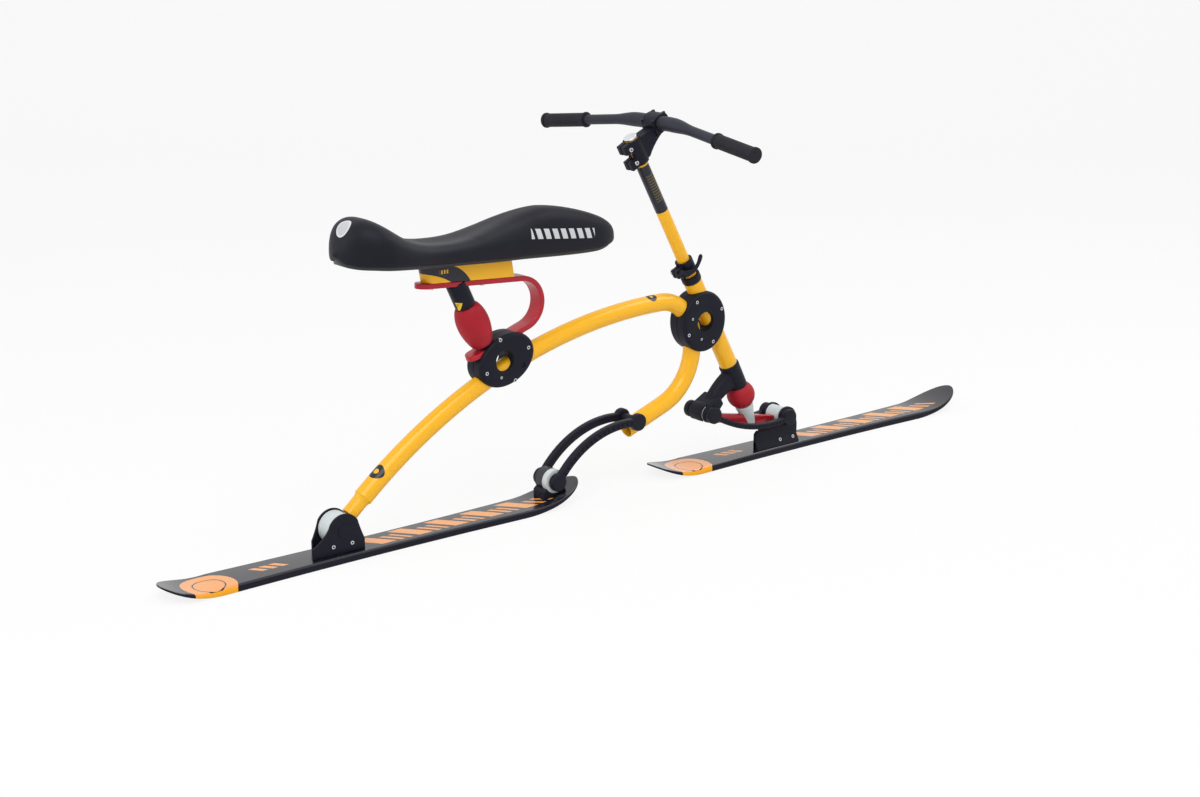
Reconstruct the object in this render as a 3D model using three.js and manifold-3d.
// A ski bike: a bent tube frame on two short skis, with a sprung saddle and a sprung front ski.
// Millimetres. X runs to the front, Y to the rider's left, Z up. The ski bases lie on Z = 0.
// Places are worked out from the rear ski's tail, and the finished bike is moved to its middle.

import * as THREE from 'three';
import { mergeVertices } from 'three/addons/utils/BufferGeometryUtils.js';
import Module from 'manifold-3d';

const wasm = await Module();
wasm.setup();

// Fits shared by the whole bike.
const fit = 0.3; // gap between two pieces that seat on each other
const overrun = 3; // how far a cutter reaches past the face that it opens
const pointGap = 0.03; // outline points closer than this are one point
const degree = Math.PI / 180;

// Skis, both of one model.
const skiLength = 1000;
const skiEndWidth = 106;
const skiWaistWidth = 82;
const skiThickness = 15;
const skiBevel = 5;
const skiTailTaper = 120;
const skiTipTaper = 160;
const skiThinnestShare = 0.25;
const skiTailRound = 62;
const skiTipRound = 101;
const skiTailRise = 28;
const skiTailRiseLength = 117;
const skiTipRise = 45;
const skiTipRiseLength = 169;
const skiEndFlat = 0.6;

// Where the frame and the arms meet the skis.
const rearPivotFromTail = 395;
const rearPivotHeight = 60;
const frontPivotFromTail = 391;
const frontPivotHeight = 82;
const tipPivotFromTail = 930;
const tipPivotHeight = 56;

// Main tube, one bent tube from the rear barrel to the open end above the rear ski.
const tubeDiameter = 40;
const tubeWall = 2.5;
const neckDiameter = 33;
const neckLength = 44;
const neckPlugLength = 14;
const tubeStartHeading = 40.95;
const tubeArchRadius = 1201;
const tubeShoulderRadius = 95;
const tubeDrop = 19;
const tubeKneeRadius = 130;
const tubeKneeTurn = 70;
const tubeTailLength = 114;

// Pivot barrels, axles and arms.
const rearBarrelRadius = 34;
const barrelRadius = 20;
const barrelWidth = 40;
const tipBarrelRadius = 26;
const axleRadius = 7;
const axleEndDepth = 10;
const armBossRadius = 19.5;
const armThickness = 16;
const armHeight = 18;
const armBow = 35;
const frontArmHeight = 13;
const frontArmBow = 24;
const armEdgeRound = 4;
const armAxleFromEnd = 17.5;
const armAxleRise = 16;
const armBushRadius = 11;
const tipBushPlay = 4;

// Clamping hubs, each split down the middle into two shells.
const hubThickness = 56;
const hubSeam = 1;
const hubEdgeRound = 9;
const hubRoundSteps = 2;
const hubWindow = 45;
const frontHubLength = 126;
const frontHubHeight = 139;
const frontHubBack = 17; // hub centre ahead of the drop of the main tube
const frontHubRise = 39; // hub centre above the end of the shoulder bend
const rearHubLength = 144;
const rearHubHeight = 108;
const rearHubTilt = 21;
const rearHubAlongShare = 0.488; // of the arch, from its rear end
const rearHubRise = 24;
const rearWindowShift = 8;
const screwHeadRadius = 4.2;
const screwPocketRadius = 5.6;
const screwPocketDepth = 2.4;
const screwCircleShare = 0.78; // of the hub outline
const frontScrewAngles = [52, 119, 166, 207, 253, 302];
const rearScrewAngles = [15, 84, 176, 227, 266];
const hubDimpleAngle = 317;

// Steering.
const rake = 28.4;
const headAxisAhead = 28.5; // steering axis ahead of the front hub's centre
const headTubeDiameter = 42;
const headTubeWall = 3;
const headTubeLength = 237.6;
const crankPivotHeight = 129.33; // sets how low the head tube reaches
const bushLength = 14;
const bushFlange = 2.4;
const steererDiameter = 31.8;
const steererInsert = 50;
const headCollarDiameter = 45;
const headCollarLength = 16;
const upperTubeDiameter = 28.6;
const upperTubeWall = 1.8;
const upperTubeInsert = 150;
const upperTubeShown = 262;

// Clamp with a quick-release lever at the top of the steerer.
const clampGap = 7;
const clampLength = 33;
const clampLip = 4;
const clampWall = 4.4;
const clampSlot = 3;
const clampLugBack = 16;
const clampLugWidth = 20;
const clampLugHeight = 20;
const skewerRadius = 2.5;
const skewerNutRadius = 8;
const skewerNutLength = 8;
const camRadius = 8.5;
const camWidth = 15;
const camPinRadius = 2;
const leverLength = 50;
const leverWidth = 11;
const leverThickness = 5;
const leverRound = 1;
const leverSegments = 6;
const leverLean = 28.6; // of the lever above square to the steering axis

// Crank fork that carries the front suspension.
const crankTopGap = 3;
const crankCollarDiameter = 48;
const crankCupDiameter = 45;
const crankDepth = 70;
const crankPivotBack = 116.1;
const crankPivotDrop = 54;
const crankLegThickness = 30;
const crankLegRound = 7;
const crankLegTop = 12; // of the leg below the head tube, at the collar
const crankLegUnder = 57;
const crankBrowShare = 0.5; // of the way to the pivot, where the leg's back bends
const crankBellyShare = 0.66;
const crankCrotchShare = 0.3;
const crankCheekShare = 0.62; // of the way from the pivot to the collar, where the cheeks end
const crankProng = 9.4;
const crankBossRadius = 20.5;
const crankBossAngles = [45, 290];
const ballRadius = 33;
const ballDrop = 91;
const ballBack = 2;

// Link between the two front barrels, and the cone on it that carries the ball.
const linkLength = 243.4; // between its two pivots
const linkHeight = 21;
const linkWidth = 18;
const linkDrop = 13;
const linkRound = 2;
const swingTravel = 8; // degrees that the front link swings up from rest
const coneTopDiameter = 44;
const coneFootDiameter = 22;
const coneFootShare = 0.66; // of the way from the crank pivot to the ski pivot
const coneFootBelow = 30; // below the line through the two pivots
const coneRimFromBall = 27;

// Ski brackets.
const bracketRound = 2;
const bracketPad = 8; // thickness of the base between two plates
const rearPlateThickness = 5.7;
const rearLobeRadius = 37;
const rearBaseAhead = 47;
const rearBaseBackRight = 73;
const rearBaseBackLeft = 48;
const rearSideHeight = 22;
const rearLobeAngles = [30, 150];
const rearScrewShares = [-0.75, 0.43]; // of the lobe radius, from the pivot
const frontPlateThickness = 9.4;
const frontLobeRadius = 26;
const frontLobeAhead = 6;
const frontLobeBelow = 4;
const frontLobeAngles = [8, 150];
const frontBaseAhead = 36;
const frontBaseBackRight = 97;
const frontBaseBackLeft = 42;
const frontShoulderHeight = 46;
const frontSideHeight = 46;
const frontCorner = 7;
const frontScrewShares = [-0.85, 0.75];
const footWidth = 16;
const footHeight = 20;
const footToe = 6;
const footTopShare = 0.5; // of the foot's width, where its slope ends
const screwRise = 19; // of the bracket screws above the ski
const tipFootLength = 58;
const tipFootBack = 30;
const tipFootHeight = 20; // from the ski pivot's height down to the shoulders of the foot
const tipFootInset = 11;

// Seat spring: one flat bar from the tab behind the rear hub, round a C, to the seat plate.
const leafThickness = 11;
const leafWidth = 38;
const leafEdge = 1;
const leafSlope = 19;
const leafAboveHub = 37.8;
const leafTab = 77;
const leafReach = 78;
const leafBendRadius = 54;
const leafBendTurn = 157.5;
const seatPlateLength = 254;

// Seat post, rubber spring, box and saddle.
const seatPostRadius = 22;
const seatPostLean = 25;
const seatPostFromPlateEnd = 99;
const seatPostLength = 50;
const seatRubberRadius = 35;
const seatRubberLength = 96;
const seatRubberEndRadius = 21;
const seatBoxInset = 15;
const seatBoxLength = 214;
const seatBoxHeight = 38;
const seatBoxWidth = 44;
const seatBoxLean = 9;
const seatBoxRound = 3;
const seatBoltRadius = 3;
const seatBoltHeadRadius = 5;
const seatBoltHeadLength = 5;
const seatBoltDepth = 16;
const seatBoltInset = 21; // of the rear bolt from the rear end of the box
const seatBoltSpacing = 127;
const seatLength = 690;
const seatRearOverhang = 189; // of the saddle behind the seat plate
const seatWidth = 174;
const seatHeight = 126;
const seatBaseThickness = 6;
const seatBaseInset = 6;
const seatBottomDraw = 8;
const seatSideShare = 0.28; // of the pad's height, where its sides turn into the crown
const seatCrownShare = 0.8; // power of the crown's rise
const seatSquareShare = 0.72; // power of the crown's width
const seatRubberSwellShare = 0.7; // power of the rubber spring's swell
const seatNoseRound = 62;
const seatTailRound = 95;
const seatEndFlat = 0.8;

// Stem and handlebar.
const stemClampLength = 60;
const stemWall = 5.2;
const stemCapRadius = 15;
const stemCapThickness = 6;
const stemCapRound = 2;
const stemExtension = 74.4;
const stemRise = 54; // bar centre above the foot of the stem clamp
const stemArmWidth = 30;
const stemHeadWidth = 44;
const stemHeadLength = 44;
const stemHeadDepth = 20;
const stemPlateHeight = 19;
const stemRound = 4;
const stemArmRound = 1.3;
const stemLugBack = 34;
const stemLugWidth = 26;
const stemSlot = 2.4;
const stemBoltRadius = 3;
const stemBoltHeadRadius = 5;
const stemBoltHeadLength = 4;
const stemBoltInset = 13;
const barWidth = 700;
const barGripDiameter = 22.2;
const barClampDiameter = 31.8;
const barWall = 2.2;
const barStraight = 40;
const barBend = 60;
const barTaperStart = 60;
const barTaperLength = 70;
const barBackSweepShare = 0.11;
const barDropShare = 0.105;
const barStopShares = [0, 0.16, 0.305, 0.4, 0.49, 0.58, 0.67, 0.765, 1]; // of the way to the taper's end
const gripLength = 127;
const gripDiameter = 31;
const gripFlangeDiameter = 34.5;
const gripFlangeLength = 5;
const gripWaistDepth = 0.8;
const gripRings = 5;
const gripRiseShares = [0.25, 0.75]; // of one ring of the grip, its crest and its waist
const plugLength = 7;
const plugRound = 1.8;
const plugStem = 14;

// Facets: how many flats go round each kind of round piece.
const tubeSides = 20;
const boreSides = 10;
const barSides = 14;
const barrelSides = 24;
const pinSides = 10;
const screwSides = 8;
const ballSides = 20;
const outlineSides = 7;
const hubOutlineSides = 15;
const archSteps = 11;
const shoulderSteps = 8;
const kneeSteps = 7;
const leafSteps = 14;
const skiStations = 26;
const saddleStations = 26;
const crownSteps = 14;
const swellSteps = 9;
const soleSteps = 4;
const sweepSteps = 4;

const paint = {
  yellow: new THREE.MeshStandardMaterial({ color: '#f4b81a', roughness: 0.25, metalness: 0.1 }),
  black: new THREE.MeshStandardMaterial({ color: '#15151f', roughness: 0.45, metalness: 0.2 }),
  red: new THREE.MeshStandardMaterial({ color: '#a01828', roughness: 0.35, metalness: 0.1 }),
  white: new THREE.MeshStandardMaterial({ color: '#c8d0d2', roughness: 0.5, metalness: 0 }),
  steel: new THREE.MeshStandardMaterial({ color: '#b8bcc0', roughness: 0.3, metalness: 0.9 }),
  rubber: new THREE.MeshStandardMaterial({ color: '#1d1f28', roughness: 0.85, metalness: 0 }),
  vinyl: new THREE.MeshStandardMaterial({ color: '#14151f', roughness: 0.4, metalness: 0 }),
  ski: new THREE.MeshStandardMaterial({ color: '#1a1b22', roughness: 0.15, metalness: 0 }),
};

// Booleans on closed three.js geometries.
function solidOf(geometry) {
  const bare = geometry.clone();
  bare.deleteAttribute('normal');
  bare.deleteAttribute('uv');
  const merged = mergeVertices(bare);
  return new wasm.Manifold(new wasm.Mesh({
    numProp: 3,
    vertProperties: new Float32Array(merged.attributes.position.array),
    triVerts: new Uint32Array(merged.index.array),
  }));
}

function geometryOf(solid) {
  const { vertProperties, triVerts } = solid.getMesh();
  const geometry = new THREE.BufferGeometry();
  geometry.setAttribute('position', new THREE.BufferAttribute(new Float32Array(vertProperties), 3));
  geometry.setIndex(new THREE.BufferAttribute(new Uint32Array(triVerts), 1));
  const flat = geometry.toNonIndexed();
  flat.computeVertexNormals();
  return flat;
}

function join(...geometries) {
  return geometryOf(geometries.map(solidOf).reduce((whole, piece) => whole.add(piece)));
}

function cut(geometry, ...cutters) {
  return geometryOf(cutters.map(solidOf).reduce((whole, piece) => whole.subtract(piece), solidOf(geometry)));
}

function common(geometry, other) {
  return geometryOf(solidOf(geometry).intersect(solidOf(other)));
}

// Round pieces across the bike, along Y.
function rodAcross(radius, y0, y1, centre, sides = barrelSides) {
  const rod = new THREE.CylinderGeometry(radius, radius, y1 - y0, sides);
  return rod.translate(centre.x, (y0 + y1) / 2, centre.y);
}

// A rod between two points of the side plane, at one Y.
function rodBetween(radius, from, to, sides = tubeSides) {
  const span = to.clone().sub(from);
  const rod = new THREE.CylinderGeometry(radius, radius, span.length(), sides);
  rod.rotateX(Math.PI / 2);
  rod.rotateY(Math.atan2(span.x, span.y));
  return rod.translate((from.x + to.x) / 2, 0, (from.y + to.y) / 2);
}

// A closed profile of [radius, height] points turned about Z.
function turned(profile, sides = barrelSides) {
  const points = profile.map(([radius, height]) => new THREE.Vector2(radius, height));
  const upwards = THREE.ShapeUtils.area(points) > 0 ? points : points.reverse();
  return new THREE.LatheGeometry(upwards, sides).rotateX(Math.PI / 2);
}

// A hollow ring about Z from one height to another.
function sleeve(outer, inner, low, high, sides = barrelSides) {
  return turned([[outer, low], [outer, high], [inner, high], [inner, low], [outer, low]], sides);
}

function rodUp(radius, low, high, sides = barrelSides) {
  return new THREE.CylinderGeometry(radius, radius, high - low, sides)
    .rotateX(Math.PI / 2)
    .translate(0, 0, (low + high) / 2);
}

// A box given by its low and high corners.
function block(low, high) {
  const size = high.map((value, axis) => value - low[axis]);
  const middle = high.map((value, axis) => (value + low[axis]) / 2);
  return new THREE.BoxGeometry(...size).translate(...middle);
}

// The outline's points, without those that repeat the one before.
function cleaned(shape, curveSegments) {
  const points = shape.getPoints(curveSegments);
  return new THREE.Shape(points.filter((point, index) => (
    point.distanceTo(points.at(index - 1)) > pointGap
  )));
}

// A shape drawn in the side plane, X forward and Z up, with thickness from y0 to y1.
function slab(shape, y0, y1, round = 0, curveSegments = outlineSides, roundSteps = 1) {
  const geometry = new THREE.ExtrudeGeometry(cleaned(shape, curveSegments), {
    depth: y1 - y0 - 2 * round,
    bevelEnabled: round > 0,
    bevelThickness: round,
    bevelSize: round,
    bevelOffset: -round,
    bevelSegments: roundSteps,
  });
  return geometry.rotateX(Math.PI / 2).translate(0, y1 - round, 0);
}

function polygon(points) {
  return new THREE.Shape(points.map(([x, z]) => new THREE.Vector2(x, z)));
}

// A closed solid through rings of equally many points.
function loft(rings) {
  const count = rings[0].length;
  const points = rings.flat();
  const triangles = [];
  for (let ring = 0; ring + 1 < rings.length; ring += 1) {
    for (let step = 0; step < count; step += 1) {
      const a = ring * count + step;
      const b = ring * count + ((step + 1) % count);
      triangles.push(a, b, b + count, a, b + count, a + count);
    }
  }
  for (const [ring, flip] of [[0, false], [rings.length - 1, true]]) {
    const centre = points.length;
    points.push(rings[ring].reduce((sum, point) => sum.add(point), new THREE.Vector3()).divideScalar(count));
    for (let step = 0; step < count; step += 1) {
      const a = ring * count + step;
      const b = ring * count + ((step + 1) % count);
      triangles.push(centre, flip ? a : b, flip ? b : a);
    }
  }
  return outward(points, triangles);
}

// A closed pipe through pairs of rings, outer and inner.
function pipe(outer, inner) {
  const count = outer[0].length;
  const loop = [...outer, ...[...inner].reverse()];
  const triangles = [];
  loop.forEach((ring, index) => {
    const next = (index + 1) % loop.length;
    for (let step = 0; step < count; step += 1) {
      const side = (step + 1) % count;
      triangles.push(index * count + step, index * count + side, next * count + side);
      triangles.push(index * count + step, next * count + side, next * count + step);
    }
  });
  return outward(loop.flat(), triangles);
}

// Builds the geometry and turns its faces out if the rings ran the other way.
function outward(points, triangles) {
  let volume = 0;
  for (let face = 0; face < triangles.length; face += 3) {
    const [a, b, c] = [0, 1, 2].map((corner) => points[triangles[face + corner]]);
    volume += a.dot(b.clone().cross(c));
  }
  const order = volume < 0 ? triangles.reverse() : triangles;
  const geometry = new THREE.BufferGeometry().setFromPoints(points);
  geometry.setIndex(order);
  geometry.computeVertexNormals();
  return geometry;
}

// A smooth curve through [share, value] pairs, with slopes from the neighbours.
function smooth(shares, at) {
  const last = shares.length - 1;
  let low = 0;
  while (low < last - 1 && shares[low + 1][0] < at) {
    low += 1;
  }
  const slope = (index) => {
    const before = shares[Math.max(index - 1, 0)];
    const after = shares[Math.min(index + 1, last)];
    return (after[1] - before[1]) / (after[0] - before[0]);
  };
  const [x0, y0] = shares[low];
  const [x1, y1] = shares[low + 1];
  const span = x1 - x0;
  const t = (at - x0) / span;
  const start = y0 * (1 + 2 * t) * (1 - t) ** 2 + slope(low) * span * t * (1 - t) ** 2;
  return start + y1 * t * t * (3 - 2 * t) - slope(low + 1) * span * t * t * (1 - t);
}

// Half widths shrink to a round end over the given length.
function roundEnd(distance, length, flat) {
  const share = Math.min(1, Math.max(distance, flat) / length);
  return Math.sqrt(1 - (1 - share) ** 2);
}

// A path in the side plane made of straight and round stretches, each in a few steps.
class SidePath {
  constructor(start, heading) {
    this.places = [{ point: start.clone(), heading: heading * degree }];
  }

  get end() {
    return this.places[this.places.length - 1];
  }

  line(length) {
    const { point, heading } = this.end;
    const move = new THREE.Vector2(Math.cos(heading), Math.sin(heading)).multiplyScalar(length);
    this.places.push({ point: point.clone().add(move), heading });
    return this;
  }

  // A positive turn goes left, a negative one right.
  arc(radius, turn, steps) {
    const { point, heading } = this.end;
    const side = Math.sign(turn);
    const offset = radius * side;
    const normal = (angle) => new THREE.Vector2(-Math.sin(angle) * offset, Math.cos(angle) * offset);
    const centre = point.clone().add(normal(heading));
    for (let step = 1; step <= steps; step += 1) {
      const angle = heading + (turn * degree * step) / steps;
      this.places.push({ point: centre.clone().sub(normal(angle)), heading: angle });
    }
    return this;
  }

  // The outline of a flat bar that follows the path.
  band(halfWidth, from = 0, to = this.places.length) {
    const places = this.places.slice(from, to);
    const offset = ({ point, heading }, side) => [
      point.x - side * halfWidth * Math.sin(heading),
      point.y + side * halfWidth * Math.cos(heading),
    ];
    const left = places.map((place) => offset(place, 1));
    const right = places.map((place) => offset(place, -1)).reverse();
    return polygon([...right, ...left]);
  }
}

// The path as a curve for an extrusion, stepping at the path's own places.
class PathCurve extends THREE.Curve {
  constructor(path) {
    super();
    this.places = path.places;
  }

  placeAt(share) {
    const steps = this.places.length - 1;
    const low = Math.min(Math.floor(share * steps + 1e-9), steps - 1);
    const part = share * steps - low;
    const from = this.places[low];
    const to = this.places[low + 1];
    return {
      point: from.point.clone().lerp(to.point, part),
      heading: from.heading + (to.heading - from.heading) * part,
    };
  }

  getPointAt(share, target = new THREE.Vector3()) {
    const { point } = this.placeAt(share);
    return target.set(point.x, 0, point.y);
  }

  getTangentAt(share, target = new THREE.Vector3()) {
    const { heading } = this.placeAt(share);
    return target.set(Math.cos(heading), 0, Math.sin(heading));
  }

  getPoint(share, target) {
    return this.getPointAt(share, target);
  }
}

function circleShape(radius, sides) {
  return polygon(Array.from({ length: sides }, (_, side) => {
    const angle = (2 * Math.PI * side) / sides;
    return [radius * Math.cos(angle), radius * Math.sin(angle)];
  }));
}

// A round bar or, with an inner radius, an open tube along a side path.
function tubeAlong(path, outer, inner = 0) {
  const shape = circleShape(outer, tubeSides);
  if (inner > 0) {
    shape.holes.push(circleShape(inner, boreSides));
  }
  const curve = new PathCurve(path);
  return new THREE.ExtrudeGeometry(shape, { extrudePath: curve, steps: path.places.length - 1 });
}

function along(point, heading, distance) {
  const direction = new THREE.Vector2(Math.cos(heading * degree), Math.sin(heading * degree));
  return point.clone().add(direction.multiplyScalar(distance));
}

const bike = new THREE.Group();

function addTo(parent, name, geometry, material) {
  const mesh = new THREE.Mesh(geometry, material.clone());
  mesh.name = name;
  parent.add(mesh);
  return mesh;
}

function add(name, geometry, material) {
  return addTo(bike, name, geometry, material);
}

// Both skis: sections from tail to tip, closest together at the round ends.
const rearTail = 0;

// Height of the ski's base and its thickness, at a distance from the tail.
function skiProfile(fromTail) {
  const fromTip = skiLength - fromTail;
  const taper = Math.min(1, fromTail / skiTailTaper, fromTip / skiTipTaper);
  const tailLift = skiTailRise * (Math.max(0, skiTailRiseLength - fromTail) / skiTailRiseLength) ** 2;
  const tipLift = skiTipRise * (Math.max(0, skiTipRiseLength - fromTip) / skiTipRiseLength) ** 2;
  return {
    base: tailLift + tipLift,
    thickness: skiThickness * (skiThinnestShare + (1 - skiThinnestShare) * taper),
  };
}

function skiGeometry(tail) {
  const rings = [];
  for (let station = 0; station <= skiStations; station += 1) {
    const fromTail = (skiLength * (1 - Math.cos((Math.PI * station) / skiStations))) / 2;
    const fromTip = skiLength - fromTail;
    const { base, thickness } = skiProfile(fromTail);
    const sidecut = ((skiEndWidth - skiWaistWidth) / 2) * Math.sin((Math.PI * fromTail) / skiLength);
    const ends = roundEnd(fromTail, skiTailRound, skiEndFlat) * roundEnd(fromTip, skiTipRound, skiEndFlat);
    const half = (skiEndWidth / 2 - sidecut) * ends;
    const bevel = Math.min((skiBevel * thickness) / skiThickness, half / 2);
    const section = [
      [-half, base],
      [half, base],
      [half, base + thickness / 2],
      [half - bevel, base + thickness],
      [bevel - half, base + thickness],
      [-half, base + thickness / 2],
    ];
    rings.push(section.map(([y, z]) => new THREE.Vector3(tail + fromTail, y, z)));
  }
  return loft(rings);
}

add('rear_ski', skiGeometry(rearTail), paint.ski);

// Main tube, worked out from the rear pivot.
const rearPivot = new THREE.Vector2(rearTail + rearPivotFromTail, rearPivotHeight);
const tubeRadius = tubeDiameter / 2;
const neckEnd = along(rearPivot, tubeStartHeading, rearBarrelRadius + neckLength);
const mainPath = new SidePath(neckEnd, tubeStartHeading)
  .arc(tubeArchRadius, -tubeStartHeading, archSteps)
  .arc(tubeShoulderRadius, -90, shoulderSteps);
const shoulderEnd = mainPath.end.point;
mainPath.line(tubeDrop).arc(tubeKneeRadius, -tubeKneeTurn, kneeSteps).line(tubeTailLength);
const tubeEnd = mainPath.end.point;

// The rear arms turn on a bush through the tube's open end.
const armAxle = along(
  along(tubeEnd, 90 - tubeKneeTurn, armAxleFromEnd),
  180 - tubeKneeTurn,
  armAxleRise,
);

const axleBore = (axleRadius + fit) / Math.cos(Math.PI / pinSides); // its flats clear a turning axle
const barrelHalf = barrelWidth / 2;
const armInner = barrelHalf + 2 * fit;
const frontArmInner = barrelHalf + frontPlateThickness + 2 * fit;
const rearBarrelCutter = rodAcross(rearBarrelRadius + fit, -tubeDiameter, tubeDiameter, rearPivot);
const neck = rodBetween(neckDiameter / 2, rearPivot, neckEnd);
const plugEnd = along(neckEnd, tubeStartHeading, neckPlugLength);
const neckPlug = rodBetween(tubeRadius - tubeWall / 2, neckEnd, plugEnd);
const tubeOpen = tubeAlong(mainPath, tubeRadius, tubeRadius - tubeWall);
const bushCutter = rodAcross(armBushRadius + fit, -tubeDiameter, tubeDiameter, armAxle);
add('frame_tube', cut(join(tubeOpen, neckPlug, neck), rearBarrelCutter, bushCutter), paint.yellow);

// Front hub, where the main tube turns down past the head tube.
const frontHub = new THREE.Vector2(shoulderEnd.x + frontHubBack, shoulderEnd.y + frontHubRise);
const steerUp = new THREE.Vector2(-Math.sin(rake * degree), Math.cos(rake * degree));
const steerAhead = new THREE.Vector2(Math.cos(rake * degree), Math.sin(rake * degree));
const crankPivotLocal = new THREE.Vector2(-crankPivotBack, -crankPivotDrop);
const headByHub = frontHub.clone().addScaledVector(steerAhead, headAxisAhead);
const crankByHub = headByHub.y + crankPivotLocal.x * steerAhead.y + crankPivotLocal.y * steerUp.y;
const headFoot = headByHub.addScaledVector(steerUp, (crankPivotHeight - crankByHub) / steerUp.y);

// The steering group has its Z along the steering axis and its X square to it, to the front.
const steering = new THREE.Group();
steering.position.set(headFoot.x, 0, headFoot.y);
steering.rotation.y = -rake * degree;
bike.add(steering);

function addSteering(name, geometry, material) {
  return addTo(steering, name, geometry, material);
}

function steerPoint(ahead, up) {
  return headFoot.clone().addScaledVector(steerAhead, ahead).addScaledVector(steerUp, up);
}

// One hub: a rounded oval with a window, cut to the tubes that it clamps, and split at the middle.
function hubOutline(centre, length, height, tilt, grow = 0) {
  const shape = new THREE.Shape();
  const [halfLong, halfTall] = [length / 2 + grow, height / 2 + grow];
  shape.absellipse(centre.x, centre.y, halfLong, halfTall, 0, 2 * Math.PI, false, tilt * degree);
  return shape;
}

function hubPoint(centre, length, height, tilt, angle, share) {
  const turn = (angle - tilt) * degree;
  const local = new THREE.Vector2((length / 2) * Math.cos(turn), (height / 2) * Math.sin(turn));
  return local.multiplyScalar(share).rotateAround(new THREE.Vector2(), tilt * degree).add(centre);
}

function screwPocket(place, face) {
  const ring = sleeve(screwPocketRadius, screwHeadRadius, -screwPocketDepth, overrun, screwSides);
  return ring.rotateX(Math.PI / 2).translate(place.x, -face, place.y);
}

function addHub(name, centre, size, window, cutters, screws, dimple) {
  const [length, height, tilt] = size;
  const half = hubThickness / 2;
  const outline = hubOutline(centre, length, height, tilt);
  const whole = slab(outline, -half, half, hubEdgeRound, hubOutlineSides, hubRoundSteps);
  const opening = rodAcross(hubWindow / 2, -half - overrun, half + overrun, window);
  const bored = cut(whole, opening, ...cutters);
  const reach = Math.max(length, height);
  const side = (sign) => block(
    [centre.x - reach, sign > 0 ? hubSeam / 2 : -hubThickness, centre.y - reach],
    [centre.x + reach, sign > 0 ? hubThickness : -hubSeam / 2, centre.y + reach],
  );
  const pockets = screws.map((angle) => (
    screwPocket(hubPoint(centre, length, height, tilt, angle, screwCircleShare), half)
  ));
  if (dimple) {
    const place = hubPoint(centre, length, height, tilt, dimple, screwCircleShare);
    pockets.push(rodAcross(screwPocketRadius, -half - overrun, screwPocketDepth - half, place, screwSides));
  }
  add(`${name}_right`, cut(common(bored, side(-1)), ...pockets), paint.black);
  add(`${name}_left`, common(bored, side(1)), paint.black);
}

const tubeCutter = tubeAlong(mainPath, tubeRadius + fit);
const headCutter = rodBetween(
  headTubeDiameter / 2 + fit,
  steerPoint(0, -overrun),
  steerPoint(0, headTubeLength + overrun),
  tubeSides,
);
const frontHubSize = [frontHubLength, frontHubHeight, 0];
addHub('front_hub', frontHub, frontHubSize, frontHub, [tubeCutter, headCutter], frontScrewAngles, 0);

// Rear hub, on the arch, with the slot for the seat spring above the tube.
const hubTurn = -tubeStartHeading * rearHubAlongShare;
const hubPlace = new SidePath(neckEnd, tubeStartHeading).arc(tubeArchRadius, hubTurn, 1).end;
const rearHub = along(hubPlace.point, hubPlace.heading / degree + 90, rearHubRise);
const leafStart = along(along(rearHub, leafSlope + 90, leafAboveHub), leafSlope + 180, leafTab);
const leafPath = new SidePath(leafStart, leafSlope)
  .line(leafTab + leafReach)
  .arc(leafBendRadius, leafBendTurn, leafSteps)
  .line(seatPlateLength);
const slotHalf = leafWidth / 2 + fit;
const leafSlot = slab(leafPath.band(leafThickness / 2 + fit, 0, 2), -slotHalf, slotHalf);
const rearWindow = new THREE.Vector2(rearHub.x - rearWindowShift, rearHub.y);
const rearHubSize = [rearHubLength, rearHubHeight, rearHubTilt];
addHub('rear_hub', rearHub, rearHubSize, rearWindow, [tubeCutter, leafSlot], rearScrewAngles, hubDimpleAngle);

// Head tube with its two bushes.
const headRadius = headTubeDiameter / 2;
const headBore = headRadius - headTubeWall;
const steererRadius = steererDiameter / 2;
addSteering('head_tube', sleeve(headRadius, headBore, 0, headTubeLength, tubeSides), paint.yellow);

function bush(sign, face) {
  const inner = steererRadius + fit;
  const profile = [
    [inner, face + sign * (fit + bushFlange)],
    [headRadius, face + sign * (fit + bushFlange)],
    [headRadius, face + sign * fit],
    [headBore - fit, face + sign * fit],
    [headBore - fit, face - sign * bushLength],
    [inner, face - sign * bushLength],
    [inner, face + sign * (fit + bushFlange)],
  ];
  return turned(profile, tubeSides);
}

addSteering('bearing_lower', bush(-1, 0), paint.steel);
addSteering('bearing_upper', bush(1, headTubeLength), paint.steel);

// Steerer, collar and the upper tube that slides inside the steerer.
const collarLow = headTubeLength + bushFlange + 2 * fit;
const collarHigh = collarLow + headCollarLength;
const clampLow = collarHigh + clampGap;
const clampHigh = clampLow + clampLength;
const steererTop = clampHigh - clampLip - fit;
const upperRadius = upperTubeDiameter / 2;
const steererBore = upperRadius + fit;
const steererBody = sleeve(steererRadius, steererBore, -steererInsert, steererTop, tubeSides);
addSteering('steerer_tube', steererBody, paint.yellow);
addSteering(
  'head_collar',
  sleeve(headCollarDiameter / 2, steererRadius + fit, collarLow, collarHigh),
  paint.black,
);

const upperLow = clampHigh - upperTubeInsert;
const stemFoot = clampHigh + upperTubeShown;
const stemTop = stemFoot + stemClampLength;
addSteering(
  'upper_tube',
  sleeve(upperRadius, upperRadius - upperTubeWall, upperLow, stemTop - fit, tubeSides),
  paint.yellow,
);

// Clamp at the top of the steerer: a split ring with two lugs behind, and its skewer.
const clampRadius = steererRadius + clampWall;
const skewerPlace = new THREE.Vector2(-clampRadius - clampLugBack / 2, clampLow + clampLength / 2);
const lugHalf = clampLugWidth / 2;

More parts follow.
